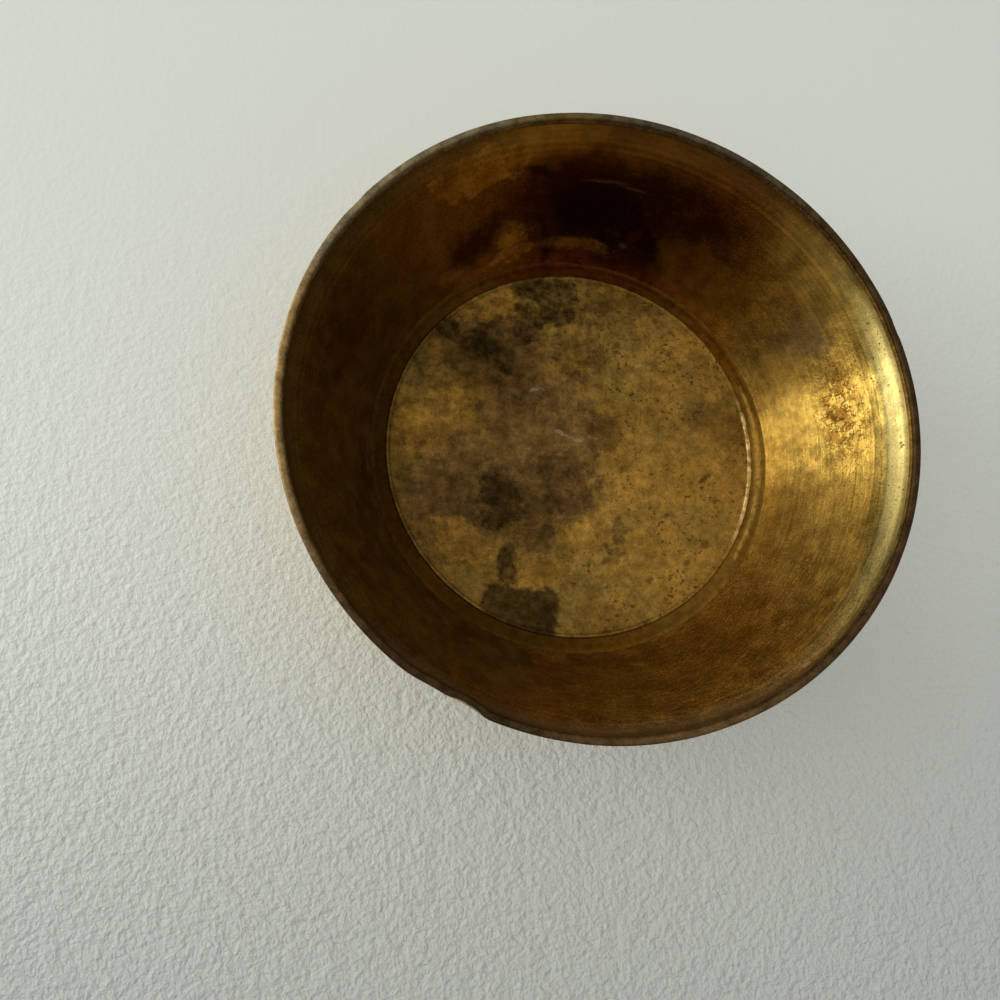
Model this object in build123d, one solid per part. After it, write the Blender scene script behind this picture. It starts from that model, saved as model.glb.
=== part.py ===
"""A small turned brass offering bowl, in millimetres.

+Z is up, and the origin is the centre of the foot on the surface that the bowl stands on.
Every piece is a turned ring or disc round Z. Outlines are drawn as (radius, height).
"""

from build123d import *
import math
import os

# Bowl
RIM_DIAMETER = 80.0  # across the outside of the lip
BOWL_DEPTH = 20.8  # from the top of the lip down to the floor

# Wall and lip
WALL_THICKNESS = 0.9  # measured level, across the slope
FLARE_HEIGHT = 2.2  # the stretch under the lip where the wall opens wider
FLARE_RUN = 1.8  # how far out the wall goes along that stretch
LIP_HEIGHT = 1.2
LIP_OVERHANG = 0.12  # how far the lip stands out past the wall's outside
LIP_CROWN = 0.2  # rise of the lip's rounded top
BASE_CORNER_BEVEL = 1.2  # where the wall turns in under the floor

# Dent in the lip
DENT_ANGLE = -116.0  # degrees round from +X
DENT_WIDTH = 6.6
DENT_DEPTH = 0.67

# Floor, and the ledge that carries it
FLOOR_DIAMETER = 53.6
FLOOR_THICKNESS = 1.2
FLOOR_EDGE_BREAK = 0.3  # bevel round the floor's upper edge
LEDGE_WIDTH = 3.8  # how far the ledge reaches in under the floor
LEDGE_THICKNESS = 1.0

# Solder between floor and wall
FLOOR_SEAM_WIDTH = 2.0  # from the floor's edge to the wall, at the floor's height
FLOOR_SEAM_SINK = 0.1  # how far the solder's edge lies below the floor's bevel
FLOOR_SEAM_CROWN = 0.25  # rise of the solder's ridge above its own edges

# Foot ring, soldered under the ledge
FOOT_HEIGHT = 4.0
FOOT_THICKNESS = 1.8
FOOT_FLARE = 1.0  # how much further out the foot is at the bottom than at the top
FOOT_INSET = 0.5  # from the ledge's inner edge to the foot's inside
FOOT_EDGE_BREAK = 0.4  # bevel along both bottom edges
FOOT_SEAM_LEG = 0.8  # length of the solder fillet along the ledge and down the foot

# Heights
ledge_underside_z = FOOT_HEIGHT
ledge_top_z = ledge_underside_z + LEDGE_THICKNESS
floor_z = ledge_top_z + FLOOR_THICKNESS
rim_z = floor_z + BOWL_DEPTH
lip_underside_z = rim_z - LIP_HEIGHT
flare_z = lip_underside_z - FLARE_HEIGHT

# Radii
rim_radius = RIM_DIAMETER / 2
lip_inner_radius = rim_radius - LIP_OVERHANG - WALL_THICKNESS
floor_radius = FLOOR_DIAMETER / 2
ledge_inner_radius = floor_radius - LEDGE_WIDTH
foot_inner_radius = ledge_inner_radius + FOOT_INSET

# The wall's inside runs straight from the flare down to the outer edge of the solder
wall_flare_radius = lip_inner_radius - FLARE_RUN
wall_foot_radius = floor_radius + FLOOR_SEAM_WIDTH
wall_slope = (wall_flare_radius - wall_foot_radius) / (flare_z - floor_z)


def wall_inside(z):
    """Radius of the wall's inner face at a height below the flare."""
    return wall_foot_radius + wall_slope * (z - floor_z)


def wall_outside(z):
    """Radius of the wall's outer face at a height below the flare."""
    return wall_inside(z) + WALL_THICKNESS


def foot_inside(z):
    """Radius of the foot ring's inner face at a height."""
    return foot_inner_radius + FOOT_FLARE * (FOOT_HEIGHT - z) / FOOT_HEIGHT


def foot_outside(z):
    """Radius of the foot ring's outer face at a height."""
    return foot_inside(z) + FOOT_THICKNESS


def turned(outline):
    """The solid that a closed outline of (radius, height) makes when it is turned round Z."""
    return revolve(Plane.XZ * make_face(outline), Axis.Z)


def dent_cutter():
    """The round bar whose side leaves a dent of the given width and depth in the lip."""
    half_width = DENT_WIDTH / 2
    rim_bulge = rim_radius - math.sqrt(rim_radius**2 - half_width**2)
    bar_bulge = DENT_DEPTH - rim_bulge
    bar_radius = (half_width**2 + bar_bulge**2) / (2 * bar_bulge)
    bar_centre = rim_radius - DENT_DEPTH + bar_radius
    bar = Pos(bar_centre, 0, rim_z) * Cylinder(bar_radius, 2 * BOWL_DEPTH)
    return Rot(0, 0, DENT_ANGLE) * bar


def side_wall():
    """The flared wall with its rounded lip, and the ledge turned in under the floor."""
    bevel_z = ledge_underside_z + BASE_CORNER_BEVEL
    shoulder_z = rim_z - LIP_CROWN
    wall = Polyline(
        (lip_inner_radius, shoulder_z),
        (lip_inner_radius, lip_underside_z),
        (wall_inside(flare_z), flare_z),
        (wall_inside(ledge_top_z), ledge_top_z),
        (ledge_inner_radius, ledge_top_z),
        (ledge_inner_radius, ledge_underside_z),
        (wall_outside(ledge_underside_z) - BASE_CORNER_BEVEL, ledge_underside_z),
        (wall_outside(bevel_z), bevel_z),
        (wall_outside(flare_z), flare_z),
        (lip_inner_radius + WALL_THICKNESS, lip_underside_z),
        (rim_radius, lip_underside_z),
        (rim_radius, shoulder_z),
    )
    crown = ThreePointArc(
        (rim_radius, shoulder_z),
        ((rim_radius + lip_inner_radius) / 2, rim_z),
        (lip_inner_radius, shoulder_z),
    )
    return turned(wall + crown) - dent_cutter()


def floor_disc():
    """The flat floor, lying on the ledge, with a bevelled upper edge."""
    outline = Polyline(
        (0, ledge_top_z),
        (floor_radius, ledge_top_z),
        (floor_radius, floor_z - FLOOR_EDGE_BREAK),
        (floor_radius - FLOOR_EDGE_BREAK, floor_z),
        (0, floor_z),
        close=True,
    )
    return turned(outline)


def floor_solder_seam():
    """The ridge of solder that fills the groove between the floor's edge and the wall."""
    edge_z = floor_z - FLOOR_EDGE_BREAK - FLOOR_SEAM_SINK
    outline = Polyline(
        (floor_radius, edge_z),
        (floor_radius, ledge_top_z),
        (wall_inside(ledge_top_z), ledge_top_z),
        (wall_inside(edge_z), edge_z),
        ((floor_radius + wall_inside(edge_z)) / 2, edge_z + FLOOR_SEAM_CROWN),
        close=True,
    )
    return turned(outline)


def foot_ring():
    """The low flared ring that the bowl stands on, with its bottom edges bevelled."""
    outline = Polyline(
        (foot_inside(FOOT_HEIGHT), FOOT_HEIGHT),
        (foot_inside(FOOT_EDGE_BREAK), FOOT_EDGE_BREAK),
        (foot_inside(0) + FOOT_EDGE_BREAK, 0),
        (foot_outside(0) - FOOT_EDGE_BREAK, 0),
        (foot_outside(FOOT_EDGE_BREAK), FOOT_EDGE_BREAK),
        (foot_outside(FOOT_HEIGHT), FOOT_HEIGHT),
        close=True,
    )
    return turned(outline)


def foot_solder_seam():
    """The fillet of solder in the corner between the foot ring and the ledge."""
    seam_bottom_z = FOOT_HEIGHT - FOOT_SEAM_LEG
    outline = Polyline(
        (foot_outside(seam_bottom_z), seam_bottom_z),
        (foot_outside(FOOT_HEIGHT), FOOT_HEIGHT),
        (foot_outside(FOOT_HEIGHT) + FOOT_SEAM_LEG, FOOT_HEIGHT),
        close=True,
    )
    return turned(outline)


PIECES = [side_wall, floor_disc, floor_solder_seam, foot_ring, foot_solder_seam]

os.makedirs("parts", exist_ok=True)
for piece in PIECES:
    export_step(piece(), f"parts/{piece.__name__}.step")
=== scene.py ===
"""Looks of a small, old, turned brass offering bowl, modelled round its CAD frame.

Lengths in the modelling code are in metres, like the frame. Lengths in the finishes are in millimetres.
Angles round the bowl run from +X towards +Y, in degrees.
"""

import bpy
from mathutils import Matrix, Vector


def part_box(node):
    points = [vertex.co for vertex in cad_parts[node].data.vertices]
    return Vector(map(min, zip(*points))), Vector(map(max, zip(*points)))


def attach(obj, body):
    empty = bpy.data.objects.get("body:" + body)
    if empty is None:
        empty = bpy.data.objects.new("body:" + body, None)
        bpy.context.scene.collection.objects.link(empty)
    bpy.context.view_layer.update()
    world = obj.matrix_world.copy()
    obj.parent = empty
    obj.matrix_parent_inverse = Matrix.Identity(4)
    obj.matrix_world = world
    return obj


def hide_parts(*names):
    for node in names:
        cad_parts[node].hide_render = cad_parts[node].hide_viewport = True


bl_info = {
    "name": "Offering bowl",
    "version": (1, 0, 0),
    "blender": (4, 5, 0),
    "location": "View3D > Sidebar > Bowl",
    "description": "Models an aged, turned brass offering bowl and the stage that it stands on",
    "category": "Object",
}

import math

import bpy
from bpy.props import FloatProperty, FloatVectorProperty, PointerProperty
from mathutils import Euler, Vector

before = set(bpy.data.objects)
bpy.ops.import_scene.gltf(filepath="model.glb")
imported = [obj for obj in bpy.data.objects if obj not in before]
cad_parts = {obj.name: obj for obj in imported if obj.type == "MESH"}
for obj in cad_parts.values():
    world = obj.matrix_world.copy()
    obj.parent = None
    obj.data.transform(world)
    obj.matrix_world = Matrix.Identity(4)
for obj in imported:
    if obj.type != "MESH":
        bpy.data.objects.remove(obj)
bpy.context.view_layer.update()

MM = 0.001
RING_STEPS = 360  # points round every turned piece
CENTRE = 0.01 * MM  # ring that is merged to close a disc's middle
MERGE = 0.03 * MM  # points nearer to each other than this become one
GRIP = 0.8 * MM  # metal round a knock that moves as one
RIM_REACH = 16 * MM  # how far down the wall follows the rim when that is pulled out of round
SOFTLY = {"use_proportional_edit": True, "proportional_edit_falloff": "SMOOTH"}
SHARP = math.radians(35)  # edges that turn by less than this are shaded smooth

WALL_MIDDLE = 33.3  # the wall's inner radius halfway up, in millimetres
THROUGH = 6.0  # half size of the floor's marks across its thickness, in millimetres
NOISE_LOW, NOISE_HIGH = 0.3, 0.7  # nearly all of a noise lies between these
SPECK_EDGE = 0.06  # how far a noise goes from the edge of a speck to its full strength
QUARTER_TURN = 0.25  # lays the stretched highlights along the turned lines

# What films do to the red, green and blue of the metal under them; the groove's is painted shade
RUBBED_FLARE = (0.60, 0.75, 1.2)
DULL_FLARE = (0.74, 0.82, 1.5)
PAINTED_GROOVE_SHADE = (0.56, 0.58, 0.62)
DEEP_FILM = (0.82, 0.76, 0.5)

# Turned lines under the lip, as millimetres below the lip's underside, depth and half width
TURNED_LINES = ((0.75, 0.012, 0.10), (1.45, 0.016, 0.12), (2.25, 0.045, 0.25), (2.95, 0.018, 0.14),
                (3.7, 0.016, 0.12), (4.9, 0.014, 0.14), (6.2, 0.012, 0.14))
TURNED_STRETCH = 7.0 * MM  # all of them lie within it

# The stage
TABLE_SIZE = 6.0
WINDOW_AZIMUTH, WINDOW_ELEVATION = math.radians(167), math.radians(17)
WINDOW_DISTANCE = 0.9
WINDOW_WIDTH, WINDOW_HEIGHT = 0.59, 0.46
WINDOW_RADIANCE = 6.0
DARK_SIDE = (0.5, -0.87, 0.0)  # the way to the darkest side of the room
DARK_LEVEL, PALE_LEVEL, CEILING_LEVEL = 0.03, 0.62, 0.74
CEILING_FROM = 0.9  # how steeply up a look has to go to see the ceiling alone
CAMERA_LENS, CAMERA_SENSOR, CAMERA_NEAR = 33.26, 36, 0.01
CAMERA_PLACE = (-29.1 * MM, -34.96 * MM, 130.94 * MM)
CAMERA_TURN = (math.radians(12.19), math.radians(-8.41), 0)


def reach(node):
    """How far out from the bowl's axis a CAD node goes."""
    low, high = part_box(node)
    return max(high[0], -low[0])


def lowest(node):
    """Height of a CAD node's underside."""
    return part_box(node)[0][2]


def highest(node):
    """Height of a CAD node's top."""
    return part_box(node)[1][2]


def length(name, description, default):
    """A property that holds a length in metres."""
    return FloatProperty(name=name, description=description, default=default, precision=5,
                         subtype="DISTANCE", unit="LENGTH")


def colour(name, description, default):
    """A property that holds a colour."""
    return FloatVectorProperty(name=name, description=description, default=default, size=3,
                               subtype="COLOR", min=0.0, max=1.0)


class BowlSizes(bpy.types.PropertyGroup):
    """Sizes of the bowl. The outer ones come from the frame."""
    rim_radius: length("Rim radius", "Outside of the lip", reach("side_wall"))
    rim_height: length("Rim height", "Top of the lip above the table", highest("side_wall"))
    base_height: length("Base height", "Underside of the wall's ledge", lowest("side_wall"))
    floor_radius: length("Floor radius", "Edge of the floor disc", reach("floor_disc"))
    floor_bottom: length("Floor underside", "Where the floor rests on the ledge", lowest("floor_disc"))
    floor_height: length("Floor height", "Top of the floor disc", highest("floor_disc"))
    foot_radius: length("Foot radius", "Outside of the foot ring at the bottom", reach("foot_ring"))
    wall_thickness: length("Wall", "Thickness of the wall, measured level", 0.9 * MM)
    flare_height: length("Flare height", "Stretch under the lip where the wall opens wider", 2.2 * MM)
    flare_run: length("Flare run", "How far out the wall goes along the flare", 1.8 * MM)
    flare_bend: length("Flare bend", "Half the height of the soft bend under the flare", 0.7 * MM)
    lip_width: length("Lip width", "Across the top of the lip", 1.02 * MM)
    lip_height: length("Lip height", "Height of the thickened lip", 1.2 * MM)
    lip_round: length("Lip round", "Rounding of the lip's two upper edges", 0.3 * MM)
    lip_slope: length("Lip slope", "How far down the lip's inner edge is rounded off", 0.9 * MM)
    lip_step: length("Lip step", "How far the lip stands in past the wall", 0.06 * MM)
    floor_edge: length("Floor edge", "Rounding of the floor's upper edge", 0.3 * MM)
    seam_width: length("Seam width", "Solder between the floor's edge and the wall", 2.0 * MM)
    floor_bead: length("Floor bead", "Rise of the floor's turned-up edge", 0.15 * MM)
    seam_sink: length("Seam sink", "How far the solder's crest lies below the floor", 0.03 * MM)
    seam_dip: length("Seam dip", "How far the hollows beside the crest lie below the floor", 0.05 * MM)
    seam_climb: length("Seam climb", "How far the solder climbs the wall above the floor", 0.3 * MM)
    crest_out: length("Seam crest", "How far outside the floor's edge the solder's crest runs", 0.95 * MM)
    ledge_width: length("Ledge", "How far the ledge reaches in under the floor", 3.8 * MM)
    base_bevel: length("Base corner", "Where the wall turns in under the floor", 1.2 * MM)
    foot_thickness: length("Foot wall", "Thickness of the foot ring", 1.8 * MM)
    foot_flare: length("Foot flare", "How much wider the foot is at the bottom", 1.0 * MM)
    foot_edge: length("Foot edge", "Rounding of the foot's bottom edges", 0.4 * MM)
    foot_seam: length("Foot seam", "Leg of the solder fillet on the foot", 0.8 * MM)
    rim_wider: FloatProperty(name="Rim wider", description="Share by which the rim is wide of round along X",
                             default=0.0068)
    rim_narrower: FloatProperty(name="Rim narrower", description="Share by which it is short of it along Y",
                                default=0.0012)
    rim_moved: FloatVectorProperty(name="Rim moved", description="How far the rim is off the middle", size=3,
                                   default=(0.18 * MM, -0.14 * MM, 0), precision=5,
                                   subtype="TRANSLATION", unit="LENGTH")
    dent_angle: FloatProperty(name="Dent angle", description="Where the lip is dented, round from +X",
                              default=math.radians(-116.5), subtype="ANGLE", unit="ROTATION")
    dent_depth: length("Dent depth", "How far the lip is pushed in", 0.67 * MM)


class BowlColours(bpy.types.PropertyGroup):
    """Colours of the brass and of what has settled on it."""
    # Polished brass is also the painted highlight along the floor's edge on the lit side
    polish: colour("Polished brass", "Clean metal of the outside and of rubbed edges", (0.80, 0.56, 0.215))
    # Bright brass is also the painted highlight low on the wall and on the solder's lit crest
    bright: colour("Bright brass", "Rubbed metal", (0.58, 0.37, 0.072))
    gold: colour("Gold brass", "Metal with a thin film", (0.44, 0.262, 0.046))
    amber: colour("Amber", "Golden brown tarnish", (0.30, 0.150, 0.022))
    rust: colour("Rust", "Reddish brown tarnish", (0.19, 0.078, 0.0075))
    umber: colour("Umber", "Dark brown tarnish", (0.105, 0.050, 0.0058))
    oxblood: colour("Oxblood", "Scorched red-brown", (0.080, 0.0198, 0.003))
    soot: colour("Soot", "Burnt-on black", (0.0122, 0.0019, 0.0018))
    straw: colour("Straw", "Pale, greyish brass", (0.36, 0.285, 0.105))
    liver: colour("Liver", "Dull greyish brown of the lip", (0.098, 0.056, 0.021))
    tan: colour("Tan", "Dull, handled brass of the lip", (0.25, 0.162, 0.062))
    khaki: colour("Khaki", "Dull brownish gold of the floor", (0.335, 0.178, 0.0305))
    olive: colour("Olive", "Greenish grey tarnish", (0.16, 0.108, 0.027))
    pewter: colour("Pewter", "Greyish, handled brass of the lip", (0.28, 0.218, 0.115))
    drab: colour("Drab", "Grey-brown film on the floor", (0.158, 0.084, 0.024))
    verdigris: colour("Dark verdigris", "Green-black crust", (0.045, 0.028, 0.008))
    chalk: colour("Chalk", "Pale specks", (0.50, 0.40, 0.26))
    plum: colour("Plum", "Greyish stain beside the rubbed side", (0.15, 0.085, 0.036))
    honey: colour("Honey", "Warm glow round the scorch", (0.33, 0.15, 0.013))
    ochre: colour("Ochre", "Flaky yellow-brown patches", (0.33, 0.16, 0.02))
    caramel: colour("Caramel", "Brown strip under the scorch", (0.22, 0.095, 0.013))
    table: colour("Table", "Painted surface under the bowl", (0.74, 0.77, 0.70))


def along(start, end, share):
    """The point that lies a share of the way from one point to another."""
    return tuple(a + (b - a) * share for a, b in zip(start, end))


def straight(start, end, steps):
    """Points between two corners of an outline, without the first."""
    return [along(start, end, i / steps) for i in range(1, steps + 1)]


def rounded(start, corner, end, steps):
    """Points of a rounded corner, from the start to the end of its bend."""
    shares = [i / steps for i in range(steps + 1)]
    return [along(along(start, corner, t), along(corner, end, t), t) for t in shares]


def wall_top(s):
    """Where the wall's inner face meets the lip, as radius and height."""
    return s.rim_radius - s.lip_width + s.lip_step, s.rim_height - s.lip_height


def wall_inside(s, height):
    """Radius of the wall's inner face at a height. Under the lip it opens wider, through a soft bend."""
    top_radius, top_height = wall_top(s)
    flare_radius, flare_height = top_radius - s.flare_run, top_height - s.flare_height
    foot_radius = s.floor_radius + s.seam_width
    slope = (flare_radius - foot_radius) / (flare_height - s.floor_height)
    opening = s.flare_run / s.flare_height - slope
    above = height - flare_height
    if above > s.flare_bend:
        wider = opening * above
    elif above > -s.flare_bend:
        wider = opening * (above + s.flare_bend) ** 2 / (4 * s.flare_bend)
    else:
        wider = 0.0
    return flare_radius + slope * above + wider


def turned_inside(s, height):
    """A point of the wall's inner face, with the lines that the turning tool left."""
    below = (wall_top(s)[1] - height) / MM
    cut = sum(depth * math.exp(-((below - at) / half) ** 2) for at, depth, half in TURNED_LINES)
    return wall_inside(s, height) + cut * MM, height


def turn(name, outline):
    """Turns a closed outline of (radius, height) points round Z, ring by ring."""
    bpy.ops.object.select_all(action="DESELECT")
    bpy.ops.mesh.primitive_circle_add(vertices=RING_STEPS, radius=outline[0][0], location=(0, 0, 0))
    piece = bpy.context.object
    piece.name = piece.data.name = name
    bpy.ops.object.mode_set(mode="EDIT")
    bpy.ops.mesh.select_all(action="SELECT")
    bpy.ops.transform.translate(value=(0, 0, outline[0][1]))
    for (radius, height), (next_radius, next_height) in zip(outline, outline[1:] + outline[:1]):
        bpy.ops.mesh.extrude_edges_move(TRANSFORM_OT_translate={"value": (0, 0, next_height - height)})
        grow = next_radius / radius
        bpy.ops.transform.resize(value=(grow, grow, 1), center_override=(0, 0, next_height))
    bpy.ops.mesh.select_all(action="SELECT")
    bpy.ops.mesh.remove_doubles(threshold=MERGE)
    bpy.ops.mesh.normals_make_consistent(inside=False)
    bpy.ops.object.mode_set(mode="OBJECT")
    return piece


def pick(piece, chosen):
    """Selects the points of a piece that a test chooses, ready to be moved."""
    bpy.ops.object.mode_set(mode="EDIT")
    bpy.ops.mesh.select_mode(type="VERT")
    bpy.ops.mesh.select_all(action="DESELECT")
    bpy.ops.object.mode_set(mode="OBJECT")
    for vertex in piece.data.vertices:
        vertex.select = chosen(vertex.co)
    bpy.ops.object.mode_set(mode="EDIT")


def press_in(piece, at, depth, width):
    """Pushes the metal round a point towards the bowl's axis, as a knock would."""
    pick(piece, lambda point: (point - at).length < GRIP)
    inward = -Vector((at.x, at.y, 0)).normalized() * depth
    bpy.ops.transform.translate(value=inward, proportional_size=width, **SOFTLY)
    bpy.ops.object.mode_set(mode="OBJECT")


def stretch_rim(piece, from_height, wider, narrower, moved):
    """Pulls the rim slightly out of round, wider along X and narrower along Y, and off the middle."""
    pick(piece, lambda point: point.z > from_height)
    bpy.ops.transform.resize(value=(1 + wider, 1 - narrower, 1), center_override=(0, 0, from_height),
                             proportional_size=RIM_REACH, **SOFTLY)
    bpy.ops.transform.translate(value=moved, proportional_size=RIM_REACH, **SOFTLY)
    bpy.ops.object.mode_set(mode="OBJECT")


def unsettle(piece, direction, size, height):
    """Makes a piece slightly uneven, as hand work is."""
    clouds = bpy.data.textures.new(f"{piece.name}_{direction}", "CLOUDS")
    clouds.noise_scale = size
    modifier = piece.modifiers.new("uneven", "DISPLACE")
    modifier.texture = clouds
    modifier.texture_coords = "LOCAL"
    modifier.direction = direction
    modifier.strength = height
    bpy.ops.object.modifier_apply(modifier=modifier.name)


def off_axis(face):
    """How far from the bowl's axis a face is."""
    return Vector(face.center[:2]).length


def dress_faces(piece, material, chosen=None):
    """Gives a piece a finish, on all its faces or on those that a test chooses."""
    piece.data.materials.append(material)
    slot = len(piece.data.materials) - 1
    for face in piece.data.polygons:
        if chosen is None or chosen(face):
            face.material_index = slot


def finish_piece(piece, node):
    """Smooths a piece and puts it in its node's place."""
    bpy.ops.object.shade_smooth_by_angle(angle=SHARP)
    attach(piece, "root")
    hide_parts(node)


class Nodes:
    """A node tree in the making."""

    def __init__(self, tree):
        self.tree = tree

    def add(self, kind, inputs=None, **settings):
        """A new node with some of its inputs and settings."""
        node = self.tree.nodes.new(kind)
        for setting, value in settings.items():
            setattr(node, setting, value)
        for socket, value in (inputs or {}).items():
            self.feed(node.inputs[socket], value)
        return node

    def feed(self, socket, value):
        """Links a socket to another, or sets it."""
        if isinstance(value, bpy.types.NodeSocket):
            self.tree.links.new(value, socket)
        elif socket.type == "RGBA":
            socket.default_value = (*value[:3], 1)
        else:
            socket.default_value = value

    def math(self, operation, first, second=0.0):
        """A sum on two numbers."""
        return self.add("ShaderNodeMath", {0: first, 1: second}, operation=operation).outputs[0]

    def times(self, first, *others):
        """Numbers multiplied."""
        for other in others:
            first = self.math("MULTIPLY", first, other)
        return first

    def either(self, first, *others):
        """Several masks put together."""
        for other in others:
            first = self.math("MAXIMUM", first, other)
        return first

    def rest(self, mask):
        """All that a mask leaves out."""
        return self.math("SUBTRACT", 1.0, mask)

    def vector(self, operation, first, second=(0, 0, 0)):
        """A sum on two vectors."""
        node = self.add("ShaderNodeVectorMath", {0: first, 1: second}, operation=operation)
        return node.outputs["Value" if operation in ("LENGTH", "DOT_PRODUCT") else "Vector"]

    def span(self, value, low, high, at_low=0.0, at_high=1.0):
        """Goes smoothly from one number to another while a value goes from low to high."""
        inputs = {"Value": value, "From Min": low, "From Max": high, "To Min": at_low, "To Max": at_high}
        return self.add("ShaderNodeMapRange", inputs, interpolation_type="SMOOTHSTEP").outputs["Result"]

    def sway(self, noise, at_low, at_high):
        """Goes from one number to another with a noise."""
        return self.span(noise, NOISE_LOW, NOISE_HIGH, at_low, at_high)

    def mix(self, share, first, second, blend="MIX"):
        """Two colours mixed."""
        inputs = {"Factor": share, 6: first, 7: second}
        return self.add("ShaderNodeMix", inputs, data_type="RGBA", blend_type=blend).outputs[2]

    def shade(self, tint, value):
        """A colour made darker or brighter by a number."""
        inputs = {0: tint, "Scale": value}
        return self.add("ShaderNodeVectorMath", inputs, operation="SCALE").outputs["Vector"]


class Finish(Nodes):
    """A material in the making, with its colour so far. Its places and sizes are in millimetres."""

    def __init__(self, name, metallic=1.0, anisotropic=0.0):
        self.material = bpy.data.materials.new(name)
        self.material.use_nodes = True
        super().__init__(self.material.node_tree)
        self.tint = None
        self.shader = self.tree.nodes["Principled BSDF"]
        self.shader.inputs["Metallic"].default_value = metallic
        self.shader.inputs["Anisotropic"].default_value = anisotropic
        self.shader.inputs["Anisotropic Rotation"].default_value = QUARTER_TURN
        metres = self.add("ShaderNodeTexCoord").outputs["Object"]
        self.place = self.vector("MULTIPLY", metres, (1 / MM,) * 3)
        self.x, self.y, self.z = self.add("ShaderNodeSeparateXYZ", {0: self.place}).outputs

    def dim(self, value):
        """Makes the colour so far darker or brighter by a number."""
        self.tint = self.shade(self.tint, value)

    def vary(self, change):
        """Makes the colour so far brighter or darker by a share of itself."""
        self.dim(self.math("ADD", 1.0, change))

    def cover(self, mask, over, strength=1.0):
        """Lays another colour over the colour so far where a mask is, at some strength."""
        self.tint = self.mix(self.times(mask, strength), self.tint, over)

    def cast(self, film):
        """The colour so far, seen through a film."""
        return self.mix(1.0, self.tint, film, "MULTIPLY")

    def noise(self, size, detail, roughness, stretch=(1, 1, 1), seed=0.0, of=None):
        """Cloudy noise with features of about a size."""
        place = self.vector("MULTIPLY", of or self.place, [1 / (size * s) for s in stretch])
        place = self.vector("ADD", place, (seed, seed * 0.7, -seed))
        inputs = {"Vector": place, "Scale": 1.0, "Detail": detail, "Roughness": roughness}
        return self.add("ShaderNodeTexNoise", inputs).outputs["Fac"]

    def specks(self, size, from_level, seed=0.0):
        """Small ragged marks where noise is above a level. The higher the level, the fewer there are."""
        return self.span(self.noise(size, 2.0, 0.55, seed=seed), from_level, from_level + SPECK_EDGE)

    def veins(self, size, wide, seed=0.0):
        """Thin crooked lines, as in a cracked crust."""
        off = self.math("ABSOLUTE", self.math("SUBTRACT", self.noise(size, 3.0, 0.6, seed=seed), 0.5))
        return self.span(off, wide, wide * 0.3)

    def ragged(self, of, *pushes):
        """A place, pushed about by noise, for edges that aren't smooth. Each push is a size and an amount."""
        for size, amount in pushes:
            node = self.add("ShaderNodeTexNoise", {"Vector": self.place, "Scale": 1 / size, "Detail": 2.0})
            push = self.vector("SUBTRACT", node.outputs["Color"], (0.5, 0.5, 0.5))
            of = self.vector("ADD", of, self.vector("MULTIPLY", push, (2 * amount,) * 3))
        return of

    def within(self, of, centre, size, turned):
        """A place seen from a mark's middle, in half sizes of the mark. The turn round Z is in degrees."""
        rotation = (0, 0, math.radians(turned))
        inputs = {"Vector": of, "Location": centre, "Rotation": rotation, "Scale": size}
        return self.add("ShaderNodeMapping", inputs, vector_type="TEXTURE").outputs[0]

    def blot(self, of, centre, size, turned, edge, strength=1.0):
        """An oval mark of three half sizes. The larger its edge, the softer it is."""
        off = self.vector("LENGTH", self.within(of, centre, size, turned))
        return self.span(off, 1 + edge, 1 - edge, 0.0, strength)

    def sheet(self):
        """The wall's inside laid flat: millimetres round from +X, and height."""
        along_x = self.times(self.math("ARCTAN2", self.y, self.x), WALL_MIDDLE)
        return self.add("ShaderNodeCombineXYZ", {"X": along_x, "Y": self.z}).outputs[0]

    def stains(self, sheet, *rows):
        """Blots on the laid-out wall: angle, height, half sizes, turn, edge and maybe strength of each."""
        blots = []
        for direction, height, wide, tall, *looks in rows:
            centre = (math.radians(direction) * WALL_MIDDLE, height, 0)
            blots.append(self.blot(sheet, centre, (wide, tall, 1), *looks))
        return self.either(*blots)

    def flaky(self, mark, tear, amount, soft):
        """A soft mark whose edge is torn into flakes by noise. The amount says how far."""
        push = self.times(self.math("SUBTRACT", tear, 0.5), self.span(mark, 0.0, 0.4, 0.0, 2.4 * amount))
        return self.span(self.math("ADD", mark, push), 0.5 - soft, 0.5 + soft)

    def around(self, stops, of):
        """Starts with colours that change round the bowl. A stop is an angle, a colour and a share of it."""
        gradient = self.add("ShaderNodeTexGradient", {"Vector": of}, gradient_type="RADIAL")
        node = self.add("ShaderNodeValToRGB", {"Fac": gradient.outputs["Fac"]})
        elements = node.color_ramp.elements
        while len(elements) < len(stops):
            elements.new(0.5)
        for element, (direction, _, _) in zip(elements, stops):
            element.position = (direction + 180) / 360
        for element, (_, tint, share) in zip(elements, stops):
            element.color = (*(level * share for level in tint), 1)
        self.tint = node.outputs["Color"]

    def towards(self, direction):
        """How far from the bowl's axis a place is towards an angle."""
        turned = math.radians(direction)
        return self.vector("DOT_PRODUCT", self.place, (math.cos(turned), math.sin(turned), 0))

    def bump(self, *layers):
        """Small relief. Each layer is a mask and the height in millimetres that it makes."""
        total = 0.0
        for mask, height in layers:
            total = self.math("ADD", total, self.times(mask, height))
        node = self.add("ShaderNodeBump", {"Height": total, "Distance": MM})
        self.feed(self.shader.inputs["Normal"], node.outputs["Normal"])

    def done(self, roughness):
        """Feeds the shader and hands over the material."""
        self.feed(self.shader.inputs["Base Color"], self.tint)
        self.feed(self.shader.inputs["Roughness"], roughness)
        return self.material


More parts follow.
